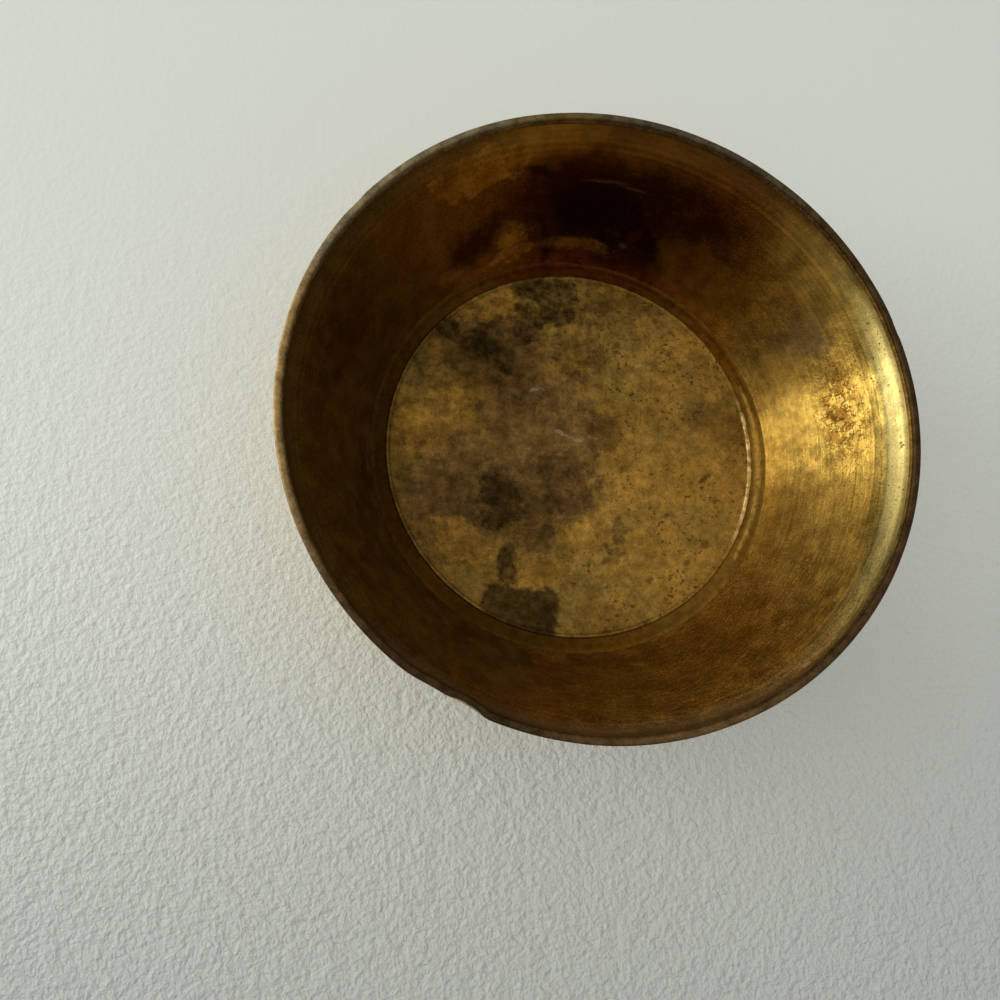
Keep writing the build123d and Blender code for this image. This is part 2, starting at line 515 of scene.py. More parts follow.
def inside_finish(s, c):
    """The wall's inside: turned brass, bright on the side that faces the window, partly rubbing and partly
    painted highlight, scorched and tarnished on the other.
    """
    f = Finish("wall_inside", anisotropic=0.6)
    drift = f.ragged(f.place, (7, 1.6), (1.5, 0.5))
    flat = f.sheet()
    torn = f.ragged(flat, (6, 1.6), (1.6, 0.7))
    tear = f.noise(2.4, 6, 0.68)
    # The side that faces the window: its bright brass is partly rubbing, partly painted highlight
    facing = f.span(f.x, 16, 34)  # the rubbed side
    # Colours round the bowl; the bright and gold brass on the window side carry painted highlight as well as
    # rubbing
    f.around((
        (-180, c.umber, 1.15), (-150, c.umber, 1.2), (-128, c.umber, 1.25), (-112, c.rust, 0.88),
        (-100, c.rust, 1.12), (-86, c.amber, 0.84), (-70, c.amber, 1.05), (-48, c.amber, 1.3),
        (-30, c.gold, 1.06), (-20, c.gold, 0.92), (-12, c.gold, 0.88), (-5, c.bright, 0.97), (4, c.bright, 1),
        (11.5, c.bright, 1.2), (14.5, c.gold, 0.64), (21, c.gold, 0.76), (28, c.gold, 0.64),
        (36, c.amber, 0.92), (46, c.rust, 1),
        (60, c.oxblood, 1.4), (96, c.oxblood, 1.4), (118, c.rust, 1), (146, c.umber, 1.05),
        (180, c.umber, 1.15),
    ), drift)

    # Patches, turned lines, grain and mottling
    patches = f.noise(3.4, 4, 0.6)
    f.dim(f.sway(patches, 0.86, 1.14))
    lines = f.noise(1, 2, 0.6, (60, 60, 0.42))
    f.vary(f.times(f.sway(lines, -0.14, 0.14), facing))
    grain = f.noise(0.26, 2, 0.6)
    rough_side = f.times(f.span(f.x, -32, 2, 0.24, 0.4), f.span(facing, 0, 1, 1, 0.55))
    f.vary(f.times(f.sway(grain, -1, 1), rough_side))
    mottle = f.noise(1.3, 4, 0.6, seed=7)
    lively = f.span(f.y, -10, 0, 0.3, 1)
    f.vary(f.times(f.sway(mottle, -0.26, 0.26), facing, lively))
    cloud = f.noise(2.8, 3, 0.55, (1, 1, 0.7), seed=12)
    f.vary(f.times(f.span(cloud, 0.34, 0.66, -0.34, 0.34), f.span(f.x, 29, 33), lively))
    strokes = f.noise(1, 3, 0.65, (2, 0.2, 1), seed=14, of=f.ragged(flat, (1.8, 0.25)))
    stroked = f.times(f.span(f.x, -22, 6), f.span(f.y, -22, -6, 0.3, 0.14))
    f.vary(f.times(f.span(strokes, 0.34, 0.66, -1, 1), stroked))

    # The flare under the lip, with painted highlights on the window side, and painted shade in the groove
    # below it
    flare_low = (s.rim_height - s.lip_height - s.flare_height) / MM
    flare = f.times(f.span(f.z, flare_low - 0.5, flare_low + 0.5), facing)
    # Painted highlight: pale straw brass at the front of the flare, where the window's reflection is
    # brightest
    painted_flare_highlight = f.times(f.span(f.x, 33, 37.5), 0.35)
    f.cover(flare, f.mix(painted_flare_highlight, f.cast(RUBBED_FLARE), f.shade(c.straw, 1.5)))
    paler = f.times(f.span(f.z, flare_low - 0.8, flare_low + 1.8), f.rest(facing))
    f.cover(paler, f.cast(DULL_FLARE))
    # Painted highlight: a brighter strip along the middle of the flare on the window side
    painted_flare_shine = f.span(f.z, flare_low + 0.6, flare_low + 1.4)
    f.vary(f.times(painted_flare_shine, f.span(f.z, flare_low + 2.2, flare_low + 1.7), facing, 0.4))
    # Painted shade: the groove under the flare is darkened where the window's highlight falls on it
    groove = f.times(f.span(f.z, flare_low - 2.2, flare_low - 1), f.span(f.z, flare_low + 0.5, flare_low))
    f.cover(f.times(groove, f.span(f.x, 31, 35.5)), f.cast(PAINTED_GROOVE_SHADE))
    handled = f.times(f.span(f.z, flare_low + 0.2, flare_low + 2.1), f.span(f.towards(-95), 26, 36))
    f.cover(handled, f.shade(c.liver, 1.8), 0.7)
    line = f.times(f.span(f.z, flare_low + 1.6, flare_low + 1.9), f.span(tear, 0.3, 0.5, 0.5, 1))
    f.cover(line, f.shade(c.umber, 0.6), 0.5)

    # Stains and the scorch
    plum = f.flaky(f.stains(torn, (26, 16.2, 3, 4.6, 0, 0.8)), tear, 0.8, 0.35)
    f.cover(plum, c.plum, 0.62)
    upper = f.stains(torn, (34, 22.4, 7, 2.6, 0, 0.9))
    f.cover(upper, f.shade(c.gold, f.sway(patches, 0.6, 1.1)), 0.7)
    char = f.stains(torn, (84, 16, 18.5, 8.2, 0, 0.9))
    f.dim(f.span(char, 0, 1, 1, 0.42))
    warm = f.stains(
        torn, (101, 24.8, 6.5, 2.4, 0, 0.9), (78, 23.8, 11, 2.4, 0, 0.9, 0.45),
        (54, 10.5, 8, 4, 10, 0.9, 0.6),
    )
    f.cover(warm, f.shade(c.honey, f.sway(patches, 0.7, 1.1)), 0.75)
    ochre = f.flaky(f.stains(
        torn, (115, 22, 6, 2.4, -5, 0.9), (108, 11.4, 2.8, 2.2, 0, 0.8), (108, 8.6, 4.2, 1.1, 0, 0.8),
        (127, 9, 3.2, 1.1, 0, 0.9),
    ), tear, 1.2, 0.22)
    ochre = f.times(ochre, f.span(f.veins(2, 0.03), 0, 1, 1, 0.45))
    f.cover(ochre, f.shade(c.ochre, f.sway(patches, 0.7, 1.2)), 0.85)
    scorch = f.flaky(f.stains(
        torn, (67, 18.4, 8.6, 3.2, 4, 0.9, 0.8), (87, 16, 12, 6.4, 0, 0.6), (76, 9.2, 6, 3, 0, 0.8),
        (119, 11.6, 6.6, 2.8, -25, 0.9, 0.9), (54, 15.6, 2.6, 0.5, 8, 0.9, 0.7),
    ), tear, 0.6, 0.42)
    f.cover(scorch, f.shade(c.oxblood, 0.36), 0.86)
    soot = f.flaky(f.stains(
        torn, (86, 14.4, 8, 4.6, 0, 0.9), (71, 11.2, 3.6, 1.5, 38, 0.8), (102, 20.8, 2.4, 0.8, 20, 0.9, 0.7),
        (98.5, 8.2, 1.3, 2, 0, 0.8),
    ), tear, 0.7, 0.42)
    f.cover(soot, c.soot, 0.93)
    strip = f.flaky(f.stains(torn, (89, 9.3, 5.8, 0.9, 2, 0.95)), f.noise(1.4, 5, 0.7, seed=1), 1, 0.45)
    f.cover(strip, f.shade(c.caramel, f.sway(patches, 0.7, 1.2)), 0.75)
    smear = f.flaky(f.stains(
        torn, (-172, 8.8, 5.6, 0.9, 10, 0.8), (-160, 11.6, 4, 1.1, 38, 0.8), (-150, 15.4, 3, 1.4, 55, 0.8),
        (-122, 12.5, 1.3, 5.5, -12, 0.9), (160, 17, 6.5, 3.6, 0, 0.9),
    ), tear, 1.1, 0.35)
    f.cover(smear, f.shade(c.oxblood, 0.8), 0.48)
    dull = f.flaky(f.stains(torn, (-112, 14, 5, 8, 0, 0.9)), tear, 1.2, 0.4)
    f.cover(dull, f.shade(c.olive, 0.9), 0.4)
    deep = f.flaky(f.stains(torn, (-58, 15.5, 7.5, 3.2, 0, 0.9), (-86, 13, 9, 5, 0, 0.9)), tear, 1, 0.4)
    f.cover(deep, f.cast(DEEP_FILM), 0.8)

    # Crust, dirt, painted light low on the wall, scratches and pale specks
    cluster = f.stains(torn, (5.5, 18.2, 5.6, 3.1, 0, 0.7))
    crust = f.times(cluster, f.span(f.noise(2.8, 3, 0.6, seed=3), 0.46, 0.53))
    f.cover(crust, f.shade(c.rust, 1.25), 0.8)
    cracks = f.times(f.either(f.veins(2, 0.03, 2), f.specks(0.6, 0.62, 5)), cluster)
    strewn = f.times(f.specks(0.42, 0.655, 8), f.span(facing, 0, 1, 0.5, 1))
    dirt = f.either(cracks, strewn)
    f.cover(dirt, f.mix(0.5, c.rust, c.umber), 0.62)
    # Painted highlight: bright brass, brighter than the rest of the rubbed side, low on the window side where
    # the window's streak runs down the wall
    painted_low_highlight = f.stains(torn, (8.5, 10.2, 4, 3.8, 0, 0.8), (2, 9.4, 4.5, 2.6, 0, 0.9, 0.5))
    painted_low_highlight = f.times(painted_low_highlight, f.span(f.z, 6.8, 8.4, 0.3, 0.92))
    f.cover(painted_low_highlight, f.shade(c.bright, f.span(mottle, 0.34, 0.66, 1.15, 1.85)))
    # Painted glint of gold brass beside the window's highlight
    painted_glint = f.flaky(f.stains(torn, (22, 11.2, 3, 3.2, 0, 0.9)), tear, 1, 0.4)
    f.cover(painted_glint, c.gold, 0.55)
    # Painted light: the wall's foot is made paler in its corner with the floor, least on the side that faces
    # the window
    foot = f.times(f.span(f.z, 9.5, 6.6, 0, 0.6), f.span(f.y, -24, 10, 0.6, 1))
    foot = f.times(foot, f.span(f.x, -24, -8, 0.3, 1), f.span(facing, 0, 1, 1, 0.4))
    f.vary(foot)
    shaken = f.ragged(flat, (0.7, 0.2))
    scratch = f.stains(
        shaken, (79.5, 18.7, 1.6, 0.16, 3, 0.8), (86, 19.1, 2.4, 0.2, -2, 0.8), (77, 10.4, 0.6, 0.4, 0, 0.6),
    )
    f.cover(scratch, c.drab, 0.4)
    specks = f.stains(
        shaken, (-39.5, 8.9, 0.5, 0.5, 0, 0.4), (-58, 18.6, 0.5, 0.2, 0, 0.4),
        (-52.5, 25.2, 0.4, 0.2, 0, 0.4),
    )
    f.cover(specks, c.chalk, 0.45)

    roughness = f.math("ADD", f.sway(patches, 0.36, 0.45), f.times(flare, 0.08))
    roughness = f.math("ADD", roughness, f.times(f.either(soot, dirt), 0.25))
    f.bump((f.times(lines, facing), 0.02), (grain, 0.02), (patches, 0.03), (dirt, -0.03))
    return f.done(roughness)


def lip_finish(name, stops):
    """The lip: dull where it is handled, brown where it isn't. The stops are as in around."""
    f = Finish(name, anisotropic=0.3)
    f.around(stops, f.ragged(f.place, (6, 2)))
    wear = f.noise(1.8, 4, 0.65)
    grain = f.noise(0.35, 2, 0.6)
    f.dim(f.sway(wear, 0.62, 1.35))
    f.dim(f.sway(grain, 0.8, 1.2))
    f.bump((wear, 0.04), (grain, 0.02))
    return f.done(f.sway(grain, 0.48, 0.62))


def lip_top_finish(c):
    """The lip's top."""
    return lip_finish("lip_top", (
        (-180, c.tan, 1.25), (-170, c.tan, 1.12), (-158, c.tan, 0.8), (-142, c.liver, 0.8),
        (-128, c.liver, 0.6), (-110, c.liver, 0.5), (-96, c.liver, 1.15), (-80, c.liver, 1.5),
        (-70, c.liver, 1.6), (-50, c.liver, 0.95), (-28, c.liver, 0.75), (-15, c.liver, 0.6),
        (20, c.liver, 0.5), (40, c.liver, 0.7), (62, c.pewter, 0.33), (84, c.pewter, 0.4),
        (98, c.olive, 1), (112, c.pewter, 0.7), (130, c.pewter, 0.95), (150, c.pewter, 0.92),
        (165, c.tan, 1.2), (180, c.tan, 1.25),
    ))


def lip_inside_finish(c):
    """The lip's rounded inner edge: gold on the side that faces the window, partly rubbing and partly painted
    highlight.
    """
    return lip_finish("lip_inside", (
        (-180, c.tan, 0.85), (-170, c.tan, 0.85), (-158, c.tan, 0.62), (-148, c.liver, 1.2),
        (-130, c.liver, 0.8), (-110, c.liver, 0.5), (-98, c.liver, 0.75), (-82, c.liver, 0.95),
        (-70, c.liver, 1.5), (-50, c.liver, 1.05), (-30, c.tan, 0.7), (-14, c.gold, 0.7),
        (0, c.gold, 0.9), (14, c.gold, 0.8), (24, c.gold, 0.7), (38, c.tan, 0.8),
        (62, c.liver, 1.6), (98, c.tan, 1.1), (120, c.pewter, 1.05), (140, c.pewter, 1),
        (160, c.tan, 0.95), (180, c.tan, 0.85),
    ))


def outside_finish(name, c, worn_below=None):
    """The outside and underside: turned brass with a thin film, browner under the lip and above the foot."""
    f = Finish(name, anisotropic=0.5)
    patches = f.noise(7, 5, 0.6, (1.6, 1.6, 1), seed=5)
    small = f.noise(1.3, 3, 0.6, seed=2)
    lines = f.noise(1, 3, 0.65, (60, 60, 0.32), seed=4)
    f.tint = f.mix(f.span(patches, 0.38, 0.62), c.polish, f.mix(0.6, c.polish, c.gold))
    film = f.span(patches, 0.56, 0.7, 0, 0.55)
    edges = f.either(f.span(f.z, 23, 26, 0, 0.75), f.span(f.z, 7.5, 4.2, 0, 0.6))
    edges = f.times(edges, f.span(patches, 0.35, 0.6, 0.5, 1))
    f.cover(f.either(film, edges), c.amber)
    f.dim(f.sway(small, 0.9, 1.1))
    f.dim(f.sway(lines, 0.8, 1.2))
    spots = f.specks(0.7, 0.68, 4)
    f.cover(spots, c.umber, 0.6)
    if worn_below:
        f.cover(f.span(f.z, worn_below, worn_below * 0.3), c.polish, 0.8)
    f.bump((lines, 0.008), (small, 0.006), (spots, -0.03))
    return f.done(f.math("ADD", f.sway(small, 0.17, 0.27), f.times(film, 0.2)))


def floor_edge(f, s):
    """How far outside the floor's edge a place is, and the side that the window lights, where the edge and
    the solder get painted highlight and shade.
    """
    out = f.vector("LENGTH", f.vector("MULTIPLY", f.place, (1, 1, 0)))
    return f.math("SUBTRACT", out, s.floor_radius / MM), f.span(f.towards(-6), 23.6, 25.8)


def floor_finish(s, c):
    """The floor: mottled brass, golden on one side, with dark crusts, drab film and small pits."""
    f = Finish("floor")
    level = s.floor_height / MM
    torn = f.ragged(f.place, (5, 1.1), (1.2, 0.5))
    tear = f.noise(2.6, 7, 0.76)
    small = f.noise(1.2, 5, 0.68, seed=6)

    def marks(*rows):
        """Blots on the floor: X, Y, half sizes, turn, edge and maybe strength of each."""
        return f.either(*(f.blot(torn, (x, y, level), (wide, tall, THROUGH), *looks)
                          for x, y, wide, tall, *looks in rows))

    # Golden metal, films, flakes and crusts
    golden = f.flaky(marks((15, -11, 17, 15, -30, 0.6), (16, 14, 9, 8, 0, 0.9)), tear, 0.5, 0.4)
    f.tint = f.mix(golden, f.shade(c.khaki, 0.62), c.khaki)
    f.cover(f.span(f.noise(9, 3, 0.6, seed=4), 0.42, 0.6, 0, 0.36), f.shade(c.olive, 1.2))
    film = f.flaky(marks(
        (-5, 3, 8.5, 11, 10, 0.6), (-3, -6, 6.5, 6, 0, 0.6), (-17, -7, 7.5, 8.5, 0, 0.8),
        (-11, 15, 9, 6, -20, 0.8),
    ), tear, 1, 0.12)
    f.cover(film, f.shade(c.drab, f.span(tear, 0.35, 0.65, 1.2, 0.7)), 0.8)
    # Darker on the floor's left, in the shadow of the wall: partly dark film, partly painted shade
    dark_film_and_shade = marks(
        (-26, -1, 3.2, 12, 0, 0.8), (-13, 13, 9, 7, -20, 0.9), (-23, 13, 3.4, 8, -30, 0.8),
        (-23, -13, 3, 6, 30, 0.8), (-17, -10, 8, 8, 0, 0.9), (-9, -9, 6, 6, 0, 0.9),
        (-15, 15.5, 6, 3.6, -25, 0.9),
    )
    f.dim(f.span(dark_film_and_shade, 0, 1, 1, 0.56))
    f.cover(marks((-14, 12.8, 6.5, 4, -25, 0.9)), f.shade(c.umber, 0.5), 0.45)
    flakes = f.flaky(marks(
        (-17.3, 7, 1.9, 2, 0, 0.9), (-21.5, 2.5, 3, 4.5, 0, 0.9), (-12, 21.5, 5, 1.8, 25, 0.9),
        (-15.5, -14, 5, 2.6, -30, 0.9), (-4.5, -18, 3.6, 2.4, 0, 0.8),
    ), tear, 1.5, 0.16)
    f.cover(flakes, f.shade(c.amber, 0.9), 0.6)
    brown = f.flaky(marks(
        (-1.6, -5.6, 4.2, 5, 0, 0.7), (4.4, 2.9, 2.6, 2.8, 0, 0.8), (-4.7, -13.5, 2.2, 2.3, 0, 0.8),
        (5.8, -12.5, 1.5, 3.4, 0, 0.9, 0.7),
    ), tear, 0.9, 0.17)
    f.cover(brown, f.shade(c.drab, 0.48), 0.7)
    f.cover(marks((18.9, 5.9, 1.8, 1.7, 0, 0.95)), f.shade(c.drab, 0.5), 0.62)
    crust = f.flaky(marks(
        (-13.6, 15.2, 3.6, 2.2, -25, 0.9), (-18.3, 17.4, 2.8, 1.2, -25, 0.9),
        (-2.4, 22.4, 3.2, 3.8, 0, 0.6), (-6.2, 19.5, 2.2, 3.4, 0, 0.9), (-6.6, 25, 2.8, 2.4, 0, 0.9),
        (-9, 11.2, 1.6, 0.9, -20, 0.9), (-10.7, -7.8, 3.8, 3.5, 15, 0.9), (-9.8, -17.4, 1.3, 3, 0, 0.9),
    ), tear, 1, 0.18)
    crust = f.times(crust, f.span(small, 0.35, 0.6, 0.95, 0.6))
    f.cover(crust, f.shade(c.verdigris, 0.8), 0.9)
    plate = f.within(f.ragged(f.place, (3.2, 1.5), (0.9, 0.6)), (-8, -24.2, level), (5.2, 4.4, THROUGH), -6)
    sides = f.add("ShaderNodeSeparateXYZ", {0: f.vector("ABSOLUTE", plate)}).outputs
    block = f.span(f.either(sides["X"], sides["Y"]), 1.09, 0.9)
    f.cover(block, f.shade(c.verdigris, f.span(small, 0.35, 0.65, 0.8, 1.4)), 0.84)

    # Mottling, specks, pits, chips, and painted light and shade on the turned-up edge
    f.dim(f.sway(small, 0.7, 1.3))
    cloud = f.sway(f.noise(2.4, 5, 0.66, seed=11), -0.36, 0.36)
    f.vary(f.times(cloud, f.span(f.x, -2, 14, 1, 0.6), f.span(f.y, 2, 16, 1, 1.45)))
    strewn = f.span(f.noise(6, 2, 0.5, seed=9), 0.4, 0.6, 0.25, 1)
    strewn = f.times(strewn, f.span(f.x, -10, 8, 0.45, 1))
    flecks = f.either(f.specks(0.6, 0.62, 1), f.specks(1.2, 0.66, 3))
    cut = f.blot(f.ragged(f.place, (0.8, 0.3)), (19.4, -3.6, level), (1.3, 0.3, THROUGH), 38, 0.6)
    pitted = f.ragged(f.place, (0.9, 0.45))
    pits = (
        (6.7, 16.2, 0.7), (4.9, 22, 1.3), (11.5, 22.4, 0.8), (12.8, 20.4, 0.6), (19, -13.3, 0.8),
        (4.5, -15.9, 0.7), (16.2, -16, 0.5), (-21.6, 0.2, 0.6), (-9, 17.6, 0.8), (14.8, 15.4, 0.5),
        (7.2, -2.6, 0.6), (10.6, -18.6, 0.5),
    )
    spots = f.either(*(f.blot(pitted, (x, y, level), (size, size * 0.75, THROUGH), 30, 0.6, 0.8)
                       for x, y, size in pits))
    dark = f.either(f.times(flecks, strewn), cut, spots)
    f.cover(dark, f.shade(c.drab, 0.3), 0.72)
    grain = f.noise(0.34, 2, 0.6, seed=2)
    f.dim(f.sway(grain, 0.86, 1.14))
    chips = f.flaky(marks(
        (-5.2, 8.9, 1, 0.34, 8, 0.7), (-2, 2.2, 1.2, 0.3, -18, 0.7), (0.3, 1.7, 0.6, 0.3, -20, 0.7),
    ), f.noise(0.9, 3, 0.6), 1.6, 0.45)
    f.cover(chips, c.chalk, 0.33)
    across, lit = floor_edge(f, s)
    # Painted shade just inside the edge and painted light on its flank, on the side away from the light
    rim = f.times(f.span(across, -1.2, -0.4, 1, 0.8), f.span(across, -0.4, -0.15, 1, 1.6))
    f.dim(f.math("ADD", lit, f.times(rim, f.rest(lit))))
    # Painted highlight of polished brass along the edge on the lit side
    edge = f.times(f.span(across, -0.85, -0.62), f.span(f.noise(1.6, 4, 0.6), 0.42, 0.6, 1, 0.2))
    f.cover(f.times(edge, lit), c.polish)

    roughness = f.sway(small, 0.38, 0.54)
    roughness = f.math("ADD", roughness, f.times(f.either(crust, block), 0.2))
    roughness = f.math("SUBTRACT", roughness, f.times(edge, lit, 0.14))
    f.bump((tear, 0.05), (small, 0.04), (grain, 0.02), (dark, -0.05))
    return f.done(roughness)


def solder_finish(s, c):
    """The solder: brass on the lit side and dirty brown elsewhere, with painted shade deepening it in the
    wall's shadow; on the lit side a painted highlight on its crest and painted shade in its hollows, and
    elsewhere painted light where it meets the wall.
    """
    f = Finish("solder")
    beads = f.noise(1.1, 3, 0.6)
    # Colours round the seam: darker away from the lit side, partly dirt, partly painted shade, darkest in the
    # wall's shadow on the left
    f.around((
        (-180, c.rust, 0.14), (-150, c.rust, 0.15), (-135, c.rust, 0.26), (-122, c.rust, 0.2),
        (-105, c.umber, 0.46), (-90, c.rust, 0.38), (-75, c.rust, 0.6), (-60, c.amber, 0.42),
        (-45, c.amber, 0.62), (-30, c.amber, 0.78), (-15, c.gold, 0.66), (0, c.gold, 0.95),
        (7, c.gold, 0.9), (15, c.amber, 0.72), (30, c.rust, 0.77), (45, c.rust, 0.62), (60, c.rust, 0.42),
        (75, c.oxblood, 0.85), (95, c.oxblood, 0.8), (98, c.oxblood, 0.4),
        (101, c.oxblood, 0.75), (108, c.oxblood, 0.9), (120, c.rust, 0.36), (135, c.rust, 0.28),
        (150, c.rust, 0.18), (180, c.rust, 0.14),
    ), f.ragged(f.place, (5, 1.2)))
    f.dim(f.sway(beads, 0.7, 1.3))
    across, lit = floor_edge(f, s)
    # Painted shade in the hollows beside the crest, on the lit side
    hollow = f.either(f.span(across, 0.55, 0.3), f.span(across, 1.35, 1.6))
    f.cover(f.times(hollow, lit), f.shade(c.umber, 1.1), 0.62)
    # Painted light on the solder's outer edge where it meets the wall, most towards the lower left
    f.vary(f.times(f.span(across, 1.3, 2.1), f.span(f.towards(-135), -6, 16, -0.1, 0.5)))
    level = s.floor_height / MM
    # Painted light where the solder climbs the wall, away from the lit side
    painted_climb_light = f.times(f.span(f.z, level, level + 0.26), f.rest(lit))
    painted_climb_light = f.times(painted_climb_light, f.span(f.towards(90), -6, 16, 0.12, 0.8))
    f.vary(painted_climb_light)
    # Painted highlight of bright brass along the crest, on the lit side
    off = f.math("ABSOLUTE", f.math("SUBTRACT", across, s.crest_out / MM))
    crest = f.times(f.span(off, 0.36, 0.12), lit, f.span(beads, 0.38, 0.58, 0.25, 1))
    f.cover(crest, c.bright, 0.85)
    specks = f.times(f.specks(0.6, 0.6), lit)
    f.cover(specks, c.umber, 0.6)
    f.bump((beads, 0.08))
    return f.done(f.sway(beads, 0.38, 0.5))


class BOWL_OT_side_wall(bpy.types.Operator):
    """Model the flared wall with its lip, its dent and its ledge"""
    bl_idname = "bowl.side_wall"
    bl_label = "Side wall"

    def execute(self, context):
        s, c = context.scene.bowl_sizes, context.scene.bowl_colours
        rim, top, base = s.rim_radius, s.rim_height, s.base_height
        lip_radius, lip_low = wall_top(s)
        flare_height = lip_low - s.flare_height
        ledge_radius = s.floor_radius - s.ledge_width

        def outside(height):
            return wall_inside(s, height) + s.wall_thickness, height

        base_corner = outside(base)
        bevel_start = (base_corner[0] - s.base_bevel, base)
        outline = [(ledge_radius, base)]
        outline += straight(outline[-1], bevel_start, 5)[:-1]
        outline += rounded(bevel_start, base_corner, outside(base + s.base_bevel), 6)
        outline += straight(outline[-1], outside(flare_height - s.flare_bend), 16)
        outline += [outside(flare_height + s.flare_bend * share) for share in (-0.5, 0.0, 0.5, 1.0)]
        ease = 0.1 * MM  # softens the corner between wall and lip
        outline += straight(outline[-1], outside(lip_low - ease), 3)
        lip_inside = rim - s.lip_width
        lip_middle = rim - s.lip_width / 2
        round_height = top - s.lip_round
        outline += [(rim, lip_low + ease)]
        outline += rounded((rim, round_height), (rim, top), (lip_middle, top), 8)
        outline += rounded((lip_middle, top), (lip_inside, top), (lip_inside, top - s.lip_slope), 8)[1:]
        outline += [(lip_inside, lip_low + 1.2 * ease), (lip_radius, lip_low)]
        fine_rows, plain_rows = 60, 22
        for i in range(1, fine_rows + 1):
            outline.append(turned_inside(s, lip_low - TURNED_STRETCH * i / fine_rows))
        outline += straight(outline[-1], (wall_inside(s, s.floor_bottom), s.floor_bottom), plain_rows)
        outline += straight(outline[-1], (ledge_radius, s.floor_bottom), 4)
        piece = turn("side_wall_brass", outline)

        def in_bowl(face):
            radius, height = off_axis(face), face.center.z
            return height > s.floor_bottom + ease and radius < wall_inside(s, height) + s.wall_thickness / 2

        def on_lip_top(face):
            radius, height = off_axis(face), face.center.z
            return height > round_height or (height > lip_low + ease / 2 and radius < lip_middle)

        def on_lip_inside(face):
            return face.center.z > lip_low + ease / 2 and off_axis(face) < lip_inside + MERGE

        dress_faces(piece, outside_finish("wall_outside", c))
        dress_faces(piece, inside_finish(s, c), in_bowl)
        dress_faces(piece, lip_top_finish(c), on_lip_top)
        dress_faces(piece, lip_inside_finish(c), on_lip_inside)

        def lip_point(direction):
            return Vector((rim * math.cos(direction), rim * math.sin(direction), top))

        # The dent was made by a broad knock and a narrow one
        for turned, share, width in ((-3.6, 0.55, 5.0 * MM), (0.5, 0.58, 2.1 * MM)):
            press_in(piece, lip_point(s.dent_angle + math.radians(turned)), s.dent_depth * share, width)
        nick_depth, nick_width = 0.08 * MM, 1.0 * MM
        for direction in (18, 142):
            press_in(piece, lip_point(math.radians(direction)), nick_depth, nick_width)
        stretch_rim(piece, lip_low, s.rim_wider, s.rim_narrower, s.rim_moved)
        unsettle(piece, "X", 12 * MM, 0.10 * MM)
        unsettle(piece, "Y", 10 * MM, 0.10 * MM)

        finish_piece(piece, "side_wall")
        return {"FINISHED"}


class BOWL_OT_floor_disc(bpy.types.Operator):
    """Model the flat floor disc"""
    bl_idname = "bowl.floor_disc"
    bl_label = "Floor disc"

    def execute(self, context):
        s, c = context.scene.bowl_sizes, context.scene.bowl_colours
        r, top, low = s.floor_radius, s.floor_height, s.floor_bottom
        inner = 2.5 * MM  # the first ring round the middle
        outline = [(CENTRE, low), (inner, low)] + straight((inner, low), (r, low), 8)
        bead = top + s.floor_bead
        crown = (r - s.floor_edge, bead)
        outline += rounded((r, top - s.floor_edge), (r, bead), crown, 6)
        outline += rounded(crown, (r - 1.7 * s.floor_edge, bead), (r - 2.2 * s.floor_edge, top), 6)[1:]
        outline += straight(outline[-1], (inner, top), 40) + [(CENTRE, top)]
        piece = turn("floor_disc_brass", outline)
        unsettle(piece, "Z", 8 * MM, 0.06 * MM)
        dress_faces(piece, outside_finish("floor_underside", c))
        under = low + 0.2 * MM  # the underside's faces lie below this
        dress_faces(piece, floor_finish(s, c), lambda face: face.center.z > under)
        finish_piece(piece, "floor_disc")
        return {"FINISHED"}


class BOWL_OT_solder(bpy.types.Operator):
    """Model the solder round the floor's edge and round the foot"""
    bl_idname = "bowl.solder"
    bl_label = "Solder seams"

    def execute(self, context):
        s, c = context.scene.bowl_sizes, context.scene.bowl_colours
        edge, floor, low, base = s.floor_radius, s.floor_height, s.floor_bottom, s.base_height
        solder = solder_finish(s, c)
        crest = (edge + s.crest_out, floor - s.seam_sink)
        dip = floor - s.seam_dip
        inner_dip = (edge + s.crest_out * 0.4, dip)
        outer_dip = (edge + s.crest_out * 1.6, dip)
        climb = floor + s.seam_climb
        outline = [(edge, dip), (edge, low), (wall_inside(s, low), low)]
        soaked = 0.12 * MM  # the climbing edge ends inside the wall's skin
        outline += rounded((wall_inside(s, climb) + soaked, climb), (wall_inside(s, dip), dip), outer_dip, 8)
        outline += rounded(outer_dip, (along(outer_dip, crest, 0.7)[0], crest[1]), crest, 6)[1:]
        outline += rounded(crest, (along(inner_dip, crest, 0.7)[0], crest[1]), inner_dip, 6)[1:]
        piece = turn("floor_seam_solder", outline)
        unsettle(piece, "Z", 2.4 * MM, 0.14 * MM)
        dress_faces(piece, solder)
        finish_piece(piece, "floor_solder_seam")

        foot_top = s.foot_radius - s.foot_flare
        slope = s.foot_flare / base
        upper = (foot_top + s.foot_seam, base)
        lower = (foot_top + s.foot_seam * slope, base - s.foot_seam)
        hollow = 0.2 * MM
        corner = (foot_top + hollow, base - hollow)
        outline = [(foot_top, base)] + rounded(upper, corner, lower, 8)
        piece = turn("foot_seam_solder", outline)
        dress_faces(piece, solder)
        finish_piece(piece, "foot_solder_seam")
        return {"FINISHED"}


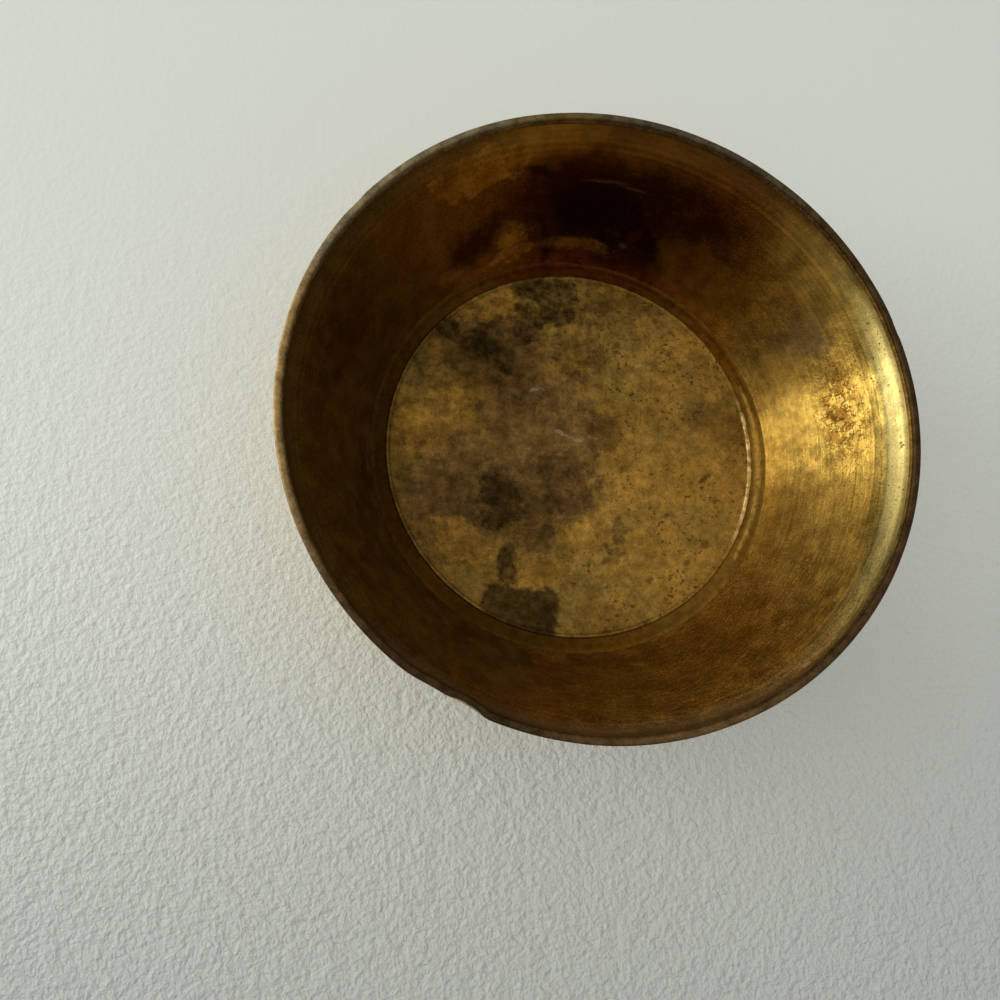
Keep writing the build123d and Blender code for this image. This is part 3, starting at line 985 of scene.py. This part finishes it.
class BOWL_OT_foot_ring(bpy.types.Operator):
    """Model the low flared foot ring"""
    bl_idname = "bowl.foot_ring"
    bl_label = "Foot ring"

    def execute(self, context):
        s, c = context.scene.bowl_sizes, context.scene.bowl_colours
        top, edge = s.base_height, s.foot_edge

        def outer(height):
            return s.foot_radius - s.foot_flare * height / top, height

        def inner(height):
            return outer(height)[0] - s.foot_thickness, height

        outline = straight(inner(top), inner(edge), 6)
        outline += rounded(inner(edge), inner(0), (inner(0)[0] + edge, 0), 5)[1:]
        outline += rounded((outer(0)[0] - edge, 0), outer(0), outer(edge), 5)
        outline += straight(outline[-1], outer(top), 8) + [inner(top)]
        piece = turn("foot_ring_brass", outline)
        dress_faces(piece, outside_finish("foot", c, 0.7))
        finish_piece(piece, "foot_ring")
        return {"FINISHED"}


class BOWL_OT_stage(bpy.types.Operator):
    """Set the table, the light and the camera"""
    bl_idname = "bowl.stage"
    bl_label = "Stage"

    def execute(self, context):
        bpy.ops.object.select_all(action="DESELECT")
        bpy.ops.mesh.primitive_plane_add(size=TABLE_SIZE)
        table = bpy.context.object
        table.name = "table"
        f = Finish("table_paint", metallic=0.0)
        peel = f.noise(0.85, 3.0, 0.55)
        lumps = f.noise(2.4, 2.0, 0.5, seed=3.0)
        # Painted shade: the paint is darker towards the camera, standing in for shade on that side of the
        # table; its texture is clearer there too
        f.tint = f.shade(context.scene.bowl_colours.table, f.span(f.y, -95.0, 5.0, 0.67, 1.0))
        relief = f.span(f.y, 60.0, -90.0, 0.06, 1.0)
        f.bump((f.times(peel, relief), 0.55), (f.times(lumps, relief), 0.45))
        table.data.materials.append(f.done(f.sway(peel, 0.5, 0.62)))

        world = bpy.data.worlds.new("room")
        world.use_nodes = True
        context.scene.world = world
        # The room is darkest low on one side, and palest overhead
        room = Nodes(world.node_tree)
        look = room.add("ShaderNodeTexCoord").outputs["Generated"]
        side = room.vector("DOT_PRODUCT", look, Vector(DARK_SIDE).normalized())
        horizon = room.times(side, (DARK_LEVEL - PALE_LEVEL) / 2)
        horizon = room.math("ADD", horizon, (DARK_LEVEL + PALE_LEVEL) / 2)
        rise = room.span(room.vector("DOT_PRODUCT", look, (0, 0, 1)), 0.0, CEILING_FROM)
        level = room.math("ADD", room.times(horizon, room.rest(rise)), room.times(rise, CEILING_LEVEL))
        room.feed(room.tree.nodes["Background"].inputs["Color"], level)

        key = bpy.data.lights.new("window", "AREA")
        key.shape = "RECTANGLE"
        key.size, key.size_y = WINDOW_WIDTH, WINDOW_HEIGHT
        key.energy = WINDOW_RADIANCE * math.pi * key.size * key.size_y
        lamp = bpy.data.objects.new("window", key)
        context.collection.objects.link(lamp)
        turned = Euler((0, -WINDOW_ELEVATION, WINDOW_AZIMUTH)).to_matrix()
        lamp.location = turned @ Vector((WINDOW_DISTANCE, 0, 0))
        lamp.rotation_euler = lamp.location.to_track_quat("Z", "Y").to_euler()
        lamp.visible_camera = False

        camera = bpy.data.cameras.new("camera")
        camera.lens, camera.sensor_width = CAMERA_LENS, CAMERA_SENSOR
        camera.clip_start = CAMERA_NEAR
        eye = bpy.data.objects.new("camera", camera)
        context.collection.objects.link(eye)
        eye.location = CAMERA_PLACE
        eye.rotation_euler = CAMERA_TURN
        context.scene.camera = eye
        context.scene.view_settings.view_transform = "Standard"
        return {"FINISHED"}


class BOWL_PT_panel(bpy.types.Panel):
    """Lists the pieces of the bowl and its stage"""
    bl_idname = "BOWL_PT_panel"
    bl_label = "Offering bowl"
    bl_space_type = "VIEW_3D"
    bl_region_type = "UI"
    bl_category = "Bowl"

    def draw(self, context):
        column = self.layout.column()
        for operator in OPERATORS:
            column.operator(operator.bl_idname)


OPERATORS = (BOWL_OT_side_wall, BOWL_OT_floor_disc, BOWL_OT_solder, BOWL_OT_foot_ring, BOWL_OT_stage)
CLASSES = (BowlSizes, BowlColours) + OPERATORS + (BOWL_PT_panel,)


def register():
    for cls in CLASSES:
        bpy.utils.register_class(cls)
    bpy.types.Scene.bowl_sizes = PointerProperty(type=BowlSizes)
    bpy.types.Scene.bowl_colours = PointerProperty(type=BowlColours)


def unregister():
    del bpy.types.Scene.bowl_sizes
    del bpy.types.Scene.bowl_colours
    for cls in reversed(CLASSES):
        bpy.utils.unregister_class(cls)


def main():
    register()
    bpy.ops.bowl.side_wall()
    bpy.ops.bowl.floor_disc()
    bpy.ops.bowl.solder()
    bpy.ops.bowl.foot_ring()
    bpy.ops.bowl.stage()


if __name__ == "__main__":
    main()
